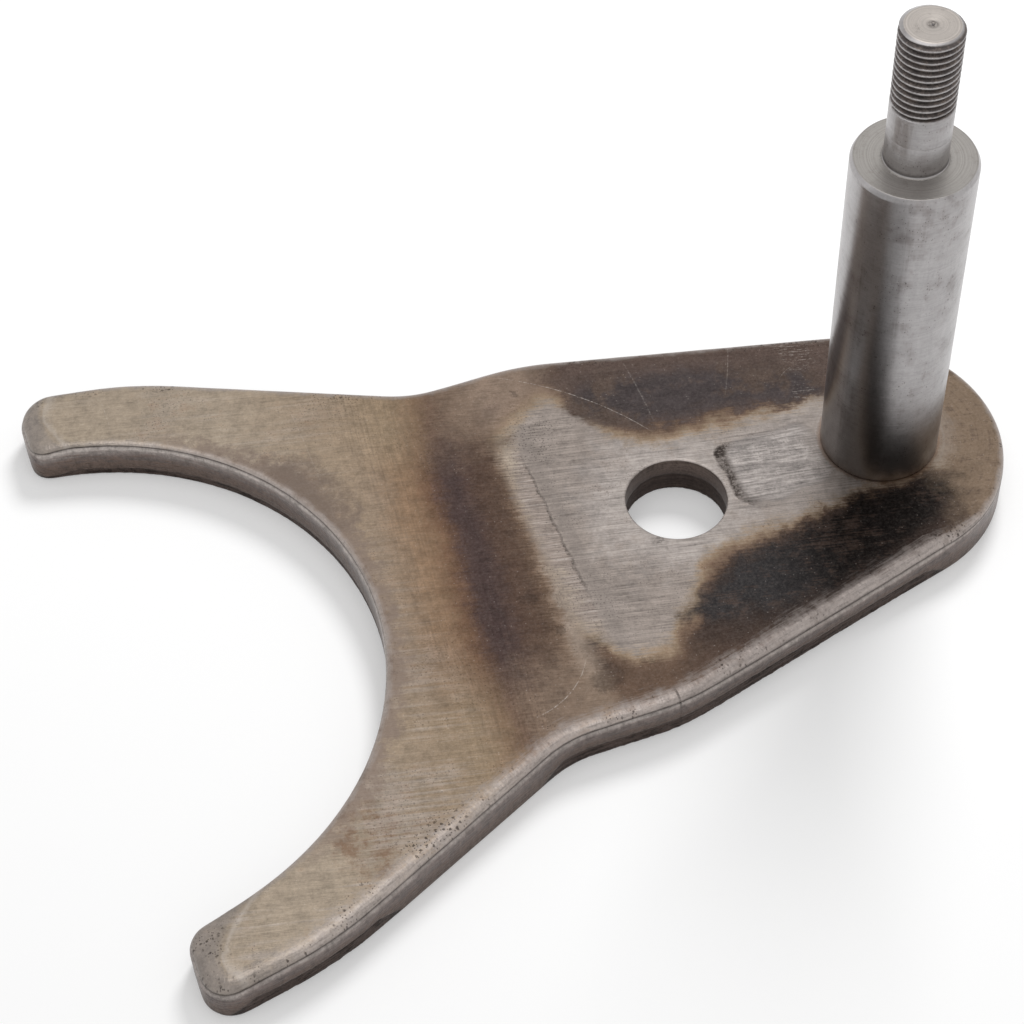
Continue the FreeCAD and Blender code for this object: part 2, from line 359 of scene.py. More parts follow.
# How far the worn slope of a tip reaches, from its mouth side to its outer side
TIP_SLOPES = {-1: [(0.0, 17.0), (0.2, 10.0), (0.5, 5.5), (0.8, 4.6), (1.0, 8.0)],
              1: [(0.0, 8.5), (0.2, 6.8), (0.5, 5.2), (0.8, 5.4), (1.0, 9.0)]}
TIP_DROP = 1.15
TIP_CORNER_DROP = 0.9
TIP_CORNER_REACH = 10.0
HALF_SPAN = 70.9


def tip_fall(place):
    """How far the top falls at a place on a worn tip."""
    past = place.x - TIP_FACE
    if past > 20:
        return 0.0
    side = 1 if place.y > 0 else -1
    across = abs(place.y)
    mouth_side = math.sqrt(max(0.0, MOUTH_RADIUS ** 2 - (place.x - MOUTH_CENTRE.x) ** 2))
    share = min(1.0, max(0.0, (across - mouth_side) / (HALF_SPAN - mouth_side)))
    rest = max(0.0, 1 - past / blend(TIP_SLOPES[side], share))
    corner = (Vector((past, across - HALF_SPAN))).length
    corner_rest = max(0.0, 1 - corner / TIP_CORNER_REACH)
    return TIP_DROP * (0.3 * rest + 0.7 * rest ** 2) + TIP_CORNER_DROP * corner_rest ** 2


def slope_tips(bm):
    """Let the top fall away at the tips, and store by how much."""
    fall = bm.verts.layers.float.new("fall")
    for vertex in bm.verts:
        height = vertex.co.z / PLATE_TOP
        vertex[fall] = tip_fall(vertex.co)
        vertex.co.z -= vertex[fall] * max(0.0, height * 1.4 - 0.4)


def mark_rims(bm, stations):
    """Store how many worn widths each point lies inside the outline, and how far along it."""
    rim = bm.verts.layers.float.new("rim")
    run = bm.verts.layers.float.new("run")
    tree = kdtree.KDTree(len(stations))
    for index, station in enumerate(stations):
        tree.insert((station.place.x, station.place.y, 0.0), index)
    tree.balance()
    for vertex in bm.verts:
        _, index, away = tree.find((vertex.co.x, vertex.co.y, 0.0))
        vertex[rim] = away / stations[index].style["rim"]
        vertex[run] = stations[index].run


def make_plate(finish):
    bm = cut_plan()
    layers = (bm.verts.layers.int.new("station"), bm.verts.layers.float.new("zone"))
    outline, hole, seat = ordered_loops(bm)
    outer_stations = make_stations(outline, True)
    style_outline(outer_stations)
    top_edges, bottom_edges = [], []
    walls = [
        (outline, outer_stations, outline_rows),
        (hole, make_stations(hole, False), hole_rows),
        (seat, make_stations(seat, False), seat_rows),
    ]
    for loop, stations, rows_of in walls:
        for station in stations:
            station.rows = rows_of(station)
        top, bottom = draw_wall(bm, loop, stations, layers)
        top_edges += top
        bottom_edges += bottom
    bmesh.ops.triangle_fill(bm, use_beauty=True, edges=bottom_edges)
    filled = bmesh.ops.triangle_fill(bm, use_beauty=True, edges=top_edges)["geom"]
    divide_top(bm, [item for item in filled if isinstance(item, bmesh.types.BMFace)])
    bmesh.ops.recalc_face_normals(bm, faces=bm.faces)
    mark_rims(bm, outer_stations)
    slope_tips(bm)
    return finish_piece(bm, "blanked_plate", "fork_plate", finish)


# Shaft: a section spun once round the axis, with the stud's thread cut into its rings

SPIN_STEPS = 160
SHOULDER = 80.9
STUD_RADIUS = 5.55625
THREAD_PITCH = 1.27
THREAD_DEPTH = 0.76
THREAD_END = 93.3
THREAD_RING = 0.08
EDGE_BREAK = 0.12
SHARP = 0.4

# Section of the shaft from its spread head up to the thread, as radii and heights.
# Close pairs hold an edge crisp.
SHAFT_SECTION = [
    (0.0, 0.0), (9.4, 0.0), (9.4375, 0.02), (7.9375, 1.6), (7.9375, 8.7), (10.83, 8.7), (SHAFT_RADIUS, 8.95),
    (SHAFT_RADIUS, 9.1), (SHAFT_RADIUS, 30.0), (SHAFT_RADIUS, 55.0), (SHAFT_RADIUS, 79.8),
    (SHAFT_RADIUS, SHOULDER - 0.9), (10.6125, SHOULDER), (10.4, SHOULDER), (6.6, SHOULDER),
    (6.05, SHOULDER), (5.8, SHOULDER + 0.04), (5.62, SHOULDER + 0.18),
    (STUD_RADIUS, SHOULDER + 0.4), (STUD_RADIUS, SHOULDER + 0.6), (STUD_RADIUS, 86.2), (STUD_RADIUS, 87.15),
    (5.545, 87.22), (5.545, 87.3), (STUD_RADIUS, 87.37), (STUD_RADIUS, 87.6), (STUD_RADIUS, 89.0),
]
STUD_CHAMFER_DEPTH = 1.0
STUD_CHAMFER_HEIGHT = 0.6
CHAMFER_STEPS = 8
# Small turned pip left in the middle of the end face
END_PIP = [(1.25, 0.0), (1.1, -0.06), (0.85, -0.1), (0.7, -0.04), (0.4, -0.03), (0.25, -0.12), (0.0, -0.12)]


def spin_section(bm, points):
    """Spin a section once round the upright axis and close it."""
    verts = [bm.verts.new((radius, 0.0, height)) for radius, height in points]
    edges = [bm.edges.new(pair) for pair in zip(verts, verts[1:])]
    bmesh.ops.spin(bm, geom=verts + edges, cent=(0, 0, 0), axis=(0, 0, 1), angle=FULL_TURN, steps=SPIN_STEPS,
                   use_merge=True)
    bmesh.ops.remove_doubles(bm, verts=bm.verts, dist=MERGE)
    bmesh.ops.recalc_face_normals(bm, faces=bm.faces)


def thread_form(share):
    """Depth of the thread, 0 on its crest and 1 in its root, at a share of one pitch."""
    flank = abs(share - 0.5) * 2
    return min(1.0, max(0.0, (flank - 0.12) / 0.7))


def cut_thread(bm):
    """Press the helical groove into the rings of the stud, running out at its lower end."""
    for vertex in bm.verts:
        if vertex.co.z < THREAD_END - 1 or vertex.co.xy.length < 4.0:
            continue
        angle = math.atan2(vertex.co.y, vertex.co.x) / FULL_TURN
        ragged = 0.25 * ripple(vertex.co.xy, 0.9, seed=4.0)
        run_in = (vertex.co.z - THREAD_END - angle * THREAD_PITCH * 0.5 + ragged) / 0.5
        depth = THREAD_DEPTH * min(1.0, max(0.0, run_in))
        share = (vertex.co.z / THREAD_PITCH - angle) % 1.0
        chipped = 0.06 * ripple(vertex.co.xy, 1.6, vertex.co.z * 2, 8.0)
        radius = STUD_RADIUS - depth * thread_form(share) - abs(chipped)
        radius = min(radius, vertex.co.xy.length)
        vertex.co.xy = vertex.co.xy.normalized() * radius


def break_corners(bm):
    """Take the sharp corners off the turned edges below the thread."""
    edges = []
    for edge in bm.edges:
        heights = [vertex.co.z for vertex in edge.verts]
        level = abs(heights[0] - heights[1]) < MERGE and PLATE_TOP + 0.1 < heights[0] < SHOULDER + 0.01
        if level and len(edge.link_faces) == 2 and edge.calc_face_angle() > SHARP:
            edges.append(edge)
    bmesh.ops.bevel(bm, geom=edges, offset=EDGE_BREAK, affect="EDGES", segments=2, profile=0.5, material=-1,
                    clamp_overlap=True)


def make_shaft(finish):
    bm = bmesh.new()
    chamfer_start = STUD_TOP - STUD_CHAMFER_HEIGHT
    section = list(SHAFT_SECTION)
    rings = round((chamfer_start - THREAD_END + 1) / THREAD_RING)
    section += [(STUD_RADIUS, THREAD_END - 1 + THREAD_RING * ring) for ring in range(rings)]
    for step in range(CHAMFER_STEPS + 1):
        share = step / CHAMFER_STEPS
        radius = STUD_RADIUS - STUD_CHAMFER_DEPTH * share
        section.append((radius, chamfer_start + STUD_CHAMFER_HEIGHT * share))
    section += [(STUD_RADIUS - STUD_CHAMFER_DEPTH - edge, STUD_TOP) for edge in (0.05, 0.2)]
    section += [(radius, STUD_TOP + height) for radius, height in END_PIP]
    spin_section(bm, section)
    break_corners(bm)
    cut_thread(bm)
    return finish_piece(bm, "turned_shaft", "shift_shaft", finish)


# Finishes

class Value:
    """Number, vector or colour on its way through a finish."""

    def __init__(self, finish, socket):
        self.finish = finish
        self.socket = socket

    def beside(self, output):
        """Another output of the node that gave this value."""
        return Value(self.finish, self.socket.node.outputs[output])

    def math(self, operation, *values):
        return self.finish.node("ShaderNodeMath", {"operation": operation}, dict(enumerate(values)))

    def __add__(self, other):
        return self.math("ADD", self, other)

    def __radd__(self, other):
        return self.math("ADD", other, self)

    def __sub__(self, other):
        return self.math("SUBTRACT", self, other)

    def __rsub__(self, other):
        return self.math("SUBTRACT", other, self)

    def __mul__(self, other):
        return self.math("MULTIPLY", self, other)

    def __rmul__(self, other):
        return self.math("MULTIPLY", other, self)

    def __truediv__(self, other):
        return self.math("DIVIDE", self, other)

    def __neg__(self):
        return self.math("MULTIPLY", self, -1.0)

    def __abs__(self):
        return self.math("ABSOLUTE", self)


class Finish:
    """A material or world in the making, with its patterns in millimetres of the object's own frame."""

    def __init__(self, owner):
        self.owner = owner
        owner.use_nodes = True
        self.tree = owner.node_tree
        self.tree.nodes.clear()

    def node(self, kind, settings, inputs, output=0):
        """Add a node, set it up, then give its sockets values or links."""
        node = self.tree.nodes.new(kind)
        for key, setting in settings.items():
            if key == "stops":
                self.set_stops(node, setting)
            elif key == "points":
                self.set_points(node, setting)
            else:
                setattr(node, key, setting)
        for key, value in inputs.items():
            if isinstance(value, Value):
                self.tree.links.new(value.socket, node.inputs[key])
            else:
                node.inputs[key].default_value = value
        return Value(self, node.outputs[output]) if node.outputs else None

    def set_stops(self, node, stops):
        elements = node.color_ramp.elements
        while len(elements) < len(stops):
            elements.new(0.5)
        for element, (position, colour) in zip(elements, stops):
            element.position = position
            element.color = opaque(colour)

    def set_points(self, node, points):
        curve = node.mapping.curves[0]
        curve.points[0].location = points[0]
        curve.points[1].location = points[-1]
        for point in points[1:-1]:
            curve.points.new(*point)
        node.mapping.update()

    def place(self):
        """Place in millimetres in the object's own frame."""
        return scaled(self.node("ShaderNodeTexCoord", {}, {}, "Object"), (1 / MM, 1 / MM, 1 / MM))

    def mark(self, name):
        """Number stored on the mesh's vertices."""
        return self.node("ShaderNodeAttribute", {"attribute_name": name}, {}, "Fac")

    def seen(self):
        """1 for what the camera and mirrors see directly, 0 for the light that falls on things."""
        camera = self.node("ShaderNodeLightPath", {}, {}, "Is Camera Ray")
        return greater(greater(camera, camera.beside("Is Glossy Ray")), camera.beside("Is Transmission Ray"))

    def steel(self, colour, roughness, height, depth):
        """Close the finish: bare metal with bumps of a depth in millimetres."""
        bump = self.node("ShaderNodeBump", {}, {"Height": height, "Strength": 1.0, "Distance": depth * MM})
        shader = self.node("ShaderNodeBsdfPrincipled", {}, {
            "Base Color": colour, "Roughness": roughness, "Metallic": 1.0, "Normal": bump})
        self.node("ShaderNodeOutputMaterial", {}, {"Surface": shader})
        return self.owner


def greater(first, second):
    return first.math("MAXIMUM", first, second)


def lesser(first, second):
    return first.math("MINIMUM", first, second)


def vector_math(operation, first, second, output=0):
    return first.finish.node("ShaderNodeVectorMath", {"operation": operation}, {0: first, 1: second}, output)


def scaled(vector, factors):
    return vector_math("MULTIPLY", vector, factors)


def shifted(vector, offset):
    return vector_math("ADD", vector, offset)


def distance(first, second):
    return vector_math("DISTANCE", first, second, 1)


def reach_along(vector, way):
    """How far a vector reaches along a way of length 1."""
    return vector_math("DOT_PRODUCT", vector, way, 1)


def turned(vector, degrees):
    inputs = {0: vector, "Angle": math.radians(degrees)}
    return vector.finish.node("ShaderNodeVectorRotate", {"rotation_type": "Z_AXIS"}, inputs)


def split(vector):
    x = vector.finish.node("ShaderNodeSeparateXYZ", {}, {0: vector})
    return x, x.beside("Y"), x.beside("Z")


def joined(x, y, z=0.0):
    return x.finish.node("ShaderNodeCombineXYZ", {}, {0: x, 1: y, 2: z})


def cloud(vector, scale, detail=3.0, roughness=0.55, axes="2D"):
    """Random pattern from -1 to 1, with features of about 1 / scale, of a vector or of a number alone."""
    where = "W" if axes == "1D" else "Vector"
    inputs = {where: vector, "Scale": scale, "Detail": detail, "Roughness": roughness}
    return vector.finish.node("ShaderNodeTexNoise", {"noise_dimensions": axes}, inputs) * 2.0 - 1.0


def fade(value, start, end):
    """Smooth step from 0 at the start to 1 at the end."""
    limits = {0: value, 1: start, 2: end, 3: 0.0, 4: 1.0}
    return value.finish.node("ShaderNodeMapRange", {"interpolation_type": "SMOOTHSTEP"}, limits)


def slope(value, start, end, low, high):
    """Straight run from a low value at the start to a high one at the end, and flat beyond."""
    return value.finish.node("ShaderNodeMapRange", {}, {0: value, 1: start, 2: end, 3: low, 4: high})


def drawn(value, points):
    """Value of a smooth drawn curve through points."""
    left, right = points[0][0], points[-1][0]
    low, high = min(up for _, up in points), max(up for _, up in points)
    shares = [((along - left) / (right - left), (up - low) / (high - low)) for along, up in points]
    inputs = {"Value": slope(value, left, right, 0.0, 1.0)}
    return value.finish.node("ShaderNodeFloatCurve", {"points": shares}, inputs) * (high - low) + low


def ramp(value, stops):
    """Colour of a row of paints, each given with its place before its parts."""
    left, right = stops[0][0], stops[-1][0]
    shares = [((place - left) / (right - left), paint(*parts)) for place, *parts in stops]
    inputs = {0: slope(value, left, right, 0.0, 1.0)}
    return value.finish.node("ShaderNodeValToRGB", {"stops": shares}, inputs)


def opaque(colour):
    """A paint as a socket takes it, or a value as it is."""
    return (*colour, 1.0) if isinstance(colour, tuple) else colour


def mix(first, second, factor):
    settings = {"data_type": "RGBA", "clamp_factor": True}
    return factor.finish.node("ShaderNodeMix", settings, {0: factor, 6: opaque(first), 7: opaque(second)}, 2)


def tinted(colour, factor):
    """Multiply a colour by a number."""
    settings = {"data_type": "RGBA", "blend_type": "MULTIPLY", "clamp_factor": False}
    inputs = {0: 1.0, 6: opaque(colour), 7: joined(factor, factor, factor)}
    return factor.finish.node("ShaderNodeMix", settings, inputs, 2)


def specks(vector, spacing, radius, share, axes="2D"):
    """Scattered round spots: a share of the cells of a random grid holds one each."""
    inputs = {"Vector": vector, "Scale": 1 / spacing}
    away = vector.finish.node("ShaderNodeTexVoronoi", {"voronoi_dimensions": axes}, inputs)
    chosen = away.math("LESS_THAN", split(away.beside("Color"))[0], share)
    return fade(away * spacing, radius, radius * 0.5) * chosen


def blob(spot, place, radius, wobble):
    """Soft patch round a place, with its border moved by a pattern."""
    return fade(distance(spot, (*place, 0.0)) + wobble, radius * 1.3, radius * 0.6)


def blobs(spot, patches, wobble):
    """Soft patches round several places, each given with its radius."""
    return functools.reduce(greater, [blob(spot, place, radius, wobble) for place, radius in patches])


def paint(red, green, blue):
    """Colour as a paint chip shows it, in steps up to 255, made linear."""
    shares = [part / 255 for part in (red, green, blue)]
    return tuple(share / 12.92 if share < 0.04 else ((share + 0.055) / 1.055) ** 2.4 for share in shares)


# Heat colours from the arms to the bright middle, by distance along the plate: at its middle and its sides.
# Each row has a place and then the parts of the paint.
BAND_PAINTS = [
    (-122, 162, 148, 131), (-106, 157, 140, 120), (-98, 146, 128, 110), (-92.5, 140, 116, 94),
    (-90, 135, 110, 88), (-87, 114, 88, 70), (-85, 92, 71, 61), (-83.3, 77, 62, 59), (-81, 73, 59, 57),
    (-79, 79, 63, 58), (-77, 85, 67, 58), (-73.5, 90, 72, 61), (-71.3, 106, 87, 73), (-70, 132, 113, 98),
    (-68.5, 150, 136, 124),
]
SIDE_BAND_PAINTS = [
    (-122, 162, 148, 131), (-100, 152, 134, 114), (-91, 146, 127, 105), (-85.5, 128, 106, 86),
    (-83, 112, 91, 77), (-81, 118, 99, 85), (-76, 126, 108, 94), (-66, 134, 116, 101),
]
# Colours outwards from the bright middle, by share of the way to the dark patches
OUTWARD_PAINTS = [
    (-0.3, 158, 145, 131), (0.25, 144, 125, 105), (0.6, 114, 94, 79), (0.9, 90, 72, 61), (1.3, 76, 62, 54),
    (2.2, 82, 66, 57),
]
SILVER = paint(146, 136, 129)
SILVER_LIGHT = paint(170, 162, 157)
SILVER_BAND = paint(146, 134, 126)
# Grey of the stain clouds, also used for painted shade beside the crease of the first ground band
SILVER_CLOUD_AND_SHADE = paint(122, 114, 109)
WAIST_FAR = paint(136, 118, 104)
WAIST_NEAR = paint(93, 75, 63)
DARK_FAR = paint(69, 62, 62)
DARK_FAR_BROWN = paint(84, 71, 64)
# Near dark colours are partly the patch's own oxide and partly painted shade from the shaft's shadow
NEAR_DARK_OXIDE_AND_SHADE = paint(51, 49, 50)
NEAR_BROWN_OXIDE_AND_SHADE = paint(29, 25, 24)
DARK_WARM = paint(74, 60, 53)
EDGE_FAR = paint(88, 74, 68)
EDGE_NEAR = paint(62, 51, 46)
ROUND_END = paint(130, 112, 95)
GROUND_PATCH = paint(156, 149, 145)
# Light paint for scuffs and scratches, also used for painted glints
SCUFF_AND_GLINT = paint(196, 188, 181)
RUST = paint(126, 94, 70)
WORN_GREY = paint(166, 157, 152)
WORN_DULL = paint(136, 128, 122)
TARNISH = paint(128, 113, 103)
TARNISH_DARK = paint(98, 85, 78)
WALL_LIGHT = paint(164, 156, 151)
WALL_GREY = paint(114, 104, 100)
WALL_BROWN = paint(104, 88, 79)
TORN_GREY = paint(88, 76, 71)
HOLE_BROWN = paint(100, 88, 82)
HOLE_DARK = paint(76, 66, 62)
ARM_BROWN = paint(122, 98, 80)
ARM_GREY = paint(168, 158, 150)
MILL_GREY = paint(158, 151, 145)
# Dark paint for grime, pits and marks, also used for painted shade in creases, corners and at the tear's step
GRIME_AND_SHADE = paint(44, 37, 34)
BRUSH_TURN = 12.0
ORIGIN = (0.0, 0.0, 0.0)
HOLE_RADIUS = 9.575

# Borders of the bright middle, and where the dark patches end towards the edges, by distance along the plate
BRIGHT_FAR = [
    (-70, 24), (-66.5, 26), (-63, 29.5), (-57, 31), (-52, 26), (-48, 19.5), (-44, 15.5), (-38, 13.5),
    (-25, 13), (-8, 12),
]
BRIGHT_NEAR = [
    (-70, 22), (-67, 25), (-65, 28), (-60, 30.5), (-56, 30), (-53, 26), (-48, 22), (-45, 17.5), (-41, 13.5),
    (-25, 12), (-8, 10),
]
BRIGHT_LEFT = [
    (-31, -61), (-26, -66), (-20, -68), (-10, -69), (0, -69.5), (10, -69.5), (20, -67.5), (26, -64.5),
    (31, -60),
]
DARK_FROM_FAR = [
    (-57, 25.5), (-52, 24.2), (-46, 21.5), (-40, 19.8), (-33, 19), (-27, 18.3), (-20, 17), (-13, 15),
    (-4, 13),
]
DARK_TO_FAR = [(-57, 25), (-52, 29.5), (-46, 34), (-35, 31.5), (-25, 28.5), (-15, 26), (-4, 21)]
DARK_FROM_NEAR = [
    (-51, 26), (-46, 23), (-40, 20.7), (-36, 18.3), (-30, 16.5), (-22, 15), (-15, 13.3), (-9, 12.3),
    (0, 12.8), (8, 11.5), (15, 8.5),
]
DARK_TO_NEAR = [
    (-51, 25.5), (-46, 28), (-40, 29.3), (-30, 30.3), (-20, 29), (-10, 26.5), (0, 22.5), (8, 18.5), (15, 12),
]

# Scratches on the top: start, middle, end, width and strength
LIGHT_SCRATCHES = [
    ((-62.5, 41), (-50, 31), (-40, 17.5), 0.13, 0.6), ((-83.5, -37.2), (-76, -34.2), (-71, -28.3), 0.15, 0.5),
    ((-38.3, 36), (-38.2, 28), (-38.4, 20), 0.22, 0.2), ((-18, 31), (-20, 26.5), (-24, 19), 0.13, 0.22),
    ((-12, 20), (-9, 22.5), (-6, 23.2), 0.1, 0.25), ((-103.5, 50), (-103.1, 32), (-103.7, 15), 0.1, 0.25),
    ((-137.3, 64), (-137.2, 60), (-137.4, 56), 0.12, 0.3),
]
DARK_SCRATCHES = [
    ((-93.6, 8), (-94.2, 2), (-94.6, -4), 0.1, 0.3), ((-60, -8), (-52, -9), (-45, -10.5), 0.14, 0.35),
    ((-97, -6), (-92, -22), (-94, -38), 0.12, 0.25),
]
# Stained, pitted and scuffed places: middle, radius
CLOUDS = [((-56.5, 13.0), 4.5), ((-59.0, -16.5), 3.6), ((-61.5, 3.0), 3.0), ((-52.5, -13.0), 2.4)]
PIT_CLUSTERS = [((-107.5, -53.5), 6.5), ((-149.0, -59.0), 3.5), ((-140.0, 65.0), 2.0), ((-126.0, 62.5), 3.0)]
BROWN_STAIN = ((-119.0, -50.0), 7.0)
MOUTH_STAIN = ((-105.0, 27.0), 12.0)
CORNER_PITS = ((-62.0, 23.5), 5.5)
LONG_SCUFF = ((-5.0, 26.5), 4.5)
FOOT_SCUFF = ((-8.5, 15.5), 2.6)
BLOTCHES = [((-73.0, -21.0), 0.9), ((-61.5, -32.7), 1.2), ((-69.0, -34.0), 2.6), ((-61.2, 36.0), 0.7),
            ((-48.5, -8.0), 0.6), ((-76.5, -12.0), 1.6)]


def scratch(spot, start, middle, end, width):
    """Thin mark along the arc through three places on the top of the plate."""
    first, second, third = complex(*start), complex(*middle), complex(*end)
    turn = (third - first) / (second - first)
    centre = first + (second - first) * (turn - abs(turn) ** 2) / (2j * turn.imag)
    half_length = abs(third - first) / 2
    off_line = abs(distance(spot, (centre.real, centre.imag, 0.0)) - abs(second - centre))
    off_middle = distance(spot, (*middle, 0.0))
    return fade(off_line, width, width * 0.2) * fade(off_middle, half_length * 1.1, half_length * 0.8)


def brushed_lines(spot, along, across, turn, detail=3.0):
    """Fine parallel lines, long one way and narrow the other."""
    return cloud(scaled(turned(spot, turn), (along, across, across)), 1.0, detail, 0.6)


class Grain:
    """Patterns that the layers of the plate's finish share."""

    def __init__(self, finish):
        spot = finish.place()
        self.spot = spot
        self.x, self.y, self.z = split(spot)
        self.flat = joined(self.x, self.y)
        self.wobble = cloud(self.flat, 0.2, 4, 0.7)
        self.soft = cloud(shifted(self.flat, (40, 9, 0)), 0.05, 2)
        self.mottle = cloud(self.flat, 0.33, 4, 0.7)
        self.fine = cloud(spot, 2, 2, 0.7, "3D")
        self.long = brushed_lines(spot, 0.03, 1, BRUSH_TURN + 1, 2.5)
        self.lines = brushed_lines(spot, 0.09, 2.6, BRUSH_TURN, 2.5)
        self.hair = brushed_lines(spot, 0.16, 6.5, BRUSH_TURN + 2, 2)
        self.steep = brushed_lines(spot, 0.14, 3.4, BRUSH_TURN + 12, 2)
        self.cross = brushed_lines(spot, 0.08, 2.2, 97, 2)
        self.drag = self.lines * 1.1 + self.hair * 0.6 + self.steep * 0.5
        self.from_shaft = distance(self.flat, ORIGIN)
        self.from_mouth = distance(self.flat, MOUTH_CENTRE) - MOUTH_RADIUS
        self.beyond = greater(self.y - drawn(self.x, BRIGHT_FAR), -self.y - drawn(self.x, BRIGHT_NEAR))

    def take(self, names):
        """Several of the patterns, by their names."""
        return [getattr(self, name) for name in names.split()]


def heat_left(grain):
    """Straw arms and the brown and dark band that welding heat left between them and the bright middle."""
    x, y, wobble, soft, mottle, drag = grain.take("x y wobble soft mottle drag")
    in_band = fade(x + wobble * 6, -100, -92) * fade(x, -78, -84)
    tilted = x - y * 0.11 + wobble * 2.2 + drag * 1.2 + soft * 1.5 + grain.cross * in_band * 1.2
    outward = fade(abs(y) + soft * 5 + wobble * 4, 19, 37)
    colour = mix(ramp(tilted, BAND_PAINTS), ramp(tilted, SIDE_BAND_PAINTS), outward)
    in_arms = fade(x, -88, -104)
    brown_arms = fade(mottle + soft * 0.6 + drag * 0.2, 0.1, 0.6) * 0.45
    brown_near = blob(grain.flat, *BROWN_STAIN, wobble * 7) * fade(mottle, -0.3, 0.3) * 0.9
    colour = mix(colour, ARM_BROWN, greater(brown_arms, brown_near) * in_arms)
    greyed = fade(grain.long + soft + wobble * 0.5, -0.1, 0.6) * in_arms
    colour = mix(colour, ARM_GREY, greyed * slope(y, -60, 20, 0.6, 0.25))
    # Painted shade: darker towards the near side, down to 0.8 at the near arm; the cross lines in the band
    # are its own grain
    return tinted(colour, slope(y, -55, 15, 0.8, 0.93) + grain.cross * in_band * 0.25)


def heat_right(grain):
    """Brown and dark steel round the bright middle, with a dark patch on both sides of the shaft."""
    x, y, wobble, soft, mottle, drag = grain.take("x y wobble soft mottle drag")
    share = (grain.beyond + wobble * 3.5 + drag * 1.3 + mottle) / slope(x, -50, -12, 6.5, 3)
    colour = ramp(share, OUTWARD_PAINTS)
    side_of = fade(y, -5, 5)
    in_waist = fade(x + wobble * 5 + drag, -48, -62) * fade(share, 0.1, 0.8)
    colour = mix(colour, mix(WAIST_NEAR, WAIST_FAR, side_of), in_waist)

    # Dark patches, ending in brown towards the edges and the round end
    ragged = wobble * 4 + drag * 1.1 + mottle * 0.8
    inside_far = lesser(y - drawn(x, DARK_FROM_FAR), drawn(x, DARK_TO_FAR) - y) + ragged
    inside_near = lesser(-y - drawn(x, DARK_FROM_NEAR), drawn(x, DARK_TO_NEAR) + y) + ragged
    far_dark = mix(DARK_FAR, DARK_FAR_BROWN, fade(wobble + soft, -0.25, 0.35))
    # The near dark patch is painted darker than the far one: partly its own oxide, partly painted shade where
    # the shaft's shadow falls, darkest by the shaft
    near_dark_and_shade = mix(NEAR_DARK_OXIDE_AND_SHADE, NEAR_BROWN_OXIDE_AND_SHADE, fade(x + wobble * 6, -36, -14))
    near_dark_and_shade = mix(near_dark_and_shade, DARK_WARM, fade(mottle + drag * 0.6 + soft, 0, 0.6) * 0.6)
    past = fade(share, 0.7, 1.2)
    past_end = fade(x + ragged * 1.3 + y * 0.2, 14, 2)
    colour = mix(colour, EDGE_FAR, fade(inside_far, -13, -1.5) * past * side_of)
    colour = mix(colour, far_dark, fade(inside_far, -3, 2.5) * fade(x, -2, -6))
    colour = mix(colour, EDGE_NEAR, fade(inside_near, -12, -2) * past * (1 - side_of) * past_end)
    colour = mix(colour, near_dark_and_shade, fade(inside_near, -3.2, 2.6) * past_end)

    # Round end, with arcs of brushing round the shaft
    at_end = fade(x + wobble * 6 + drag - y * 0.15, 4, 16)
    arcs = cloud(grain.from_shaft, 1.3, 3, 0.7, "1D")
    end_paint = mix(ROUND_END, EDGE_NEAR, fade(mottle + arcs * 0.6 + drag * 0.4, -0.1, 0.7) * 0.7)
    return mix(colour, tinted(end_paint, 1 + arcs * 0.25), at_end)


def bright_middle(grain):
    """Ground and brushed steel round the guide hole, where it shows, and its first ground band."""
    x, y, wobble, mottle, flat = grain.take("x y wobble mottle flat")
    outside = greater(grain.beyond, drawn(y, BRIGHT_LEFT) - x)
    mask = fade(outside + wobble * 3 + grain.drag * 1.8, 1.8, -2) * fade(x, 2, -4)
    to_hole = distance(flat, (-43, 0.5, 0))
    colour = mix(SILVER, SILVER_LIGHT, fade(to_hole + wobble * 12, 22, 10) * 0.8)
    colour = mix(colour, SILVER_LIGHT, fade(x, -32, -20) * 0.45)
    left_band = fade(x + wobble * 0.7, -65.2, -65.8)
    colour = mix(colour, SILVER_BAND, left_band)
    colour = mix(colour, SILVER_LIGHT, left_band * fade(grain.lines + grain.long * 0.5, 0, 0.4) * 0.5)
    clouds = blobs(flat, CLOUDS, wobble * 9) * 0.45
    clouds = clouds + fade(mottle + wobble + grain.soft * 0.5, 0, 0.8) * 0.6
    return mix(colour, SILVER_CLOUD_AND_SHADE, clouds * 0.7), mask, left_band


def ground_patch(grain, colour):
    """Add the hand-ground patch between the hole and the shaft, with its dark ragged border."""
    x, y, wobble, mottle, fine = grain.take("x y wobble mottle fine")
    off_x = greater(abs(x + 21) - 6.6, 0)
    bulge = fade(abs(x + 23), 5, 0) * fade(y, 0, -2) * 1.2
    off_y = greater(abs(y - 1.4) - 4.6 - bulge, 0)
    away = distance(joined(off_x, off_y), ORIGIN) - 3.2 + wobble * 1.2 + fine * 0.3
    left = fade(x, -26, -30)
    top = fade(y, 5, 8)
    border = fade(away, -1.6 - left * 1.6 - top * 1, -0.1) * fade(away, 0.7, 0)
    border = border * (0.2 + left * 0.75 + top * 0.2 + mottle * 0.6 + fine * 0.4)
    lines = brushed_lines(grain.spot, 0.14, 2.4, 9)
    ground = tinted(GROUND_PATCH, 1 + lines * 0.75 + fine * 0.15 + mottle * 0.2)
    colour = mix(colour, ground, fade(away, 0.3, -0.6))
    colour = mix(colour, SILVER_CLOUD_AND_SHADE, border)
    grimy = fade(x, -26, -29) * 0.45 + fine + mottle
    return mix(colour, GRIME_AND_SHADE, border * fade(grimy, 0.1, 0.7) * 0.8)


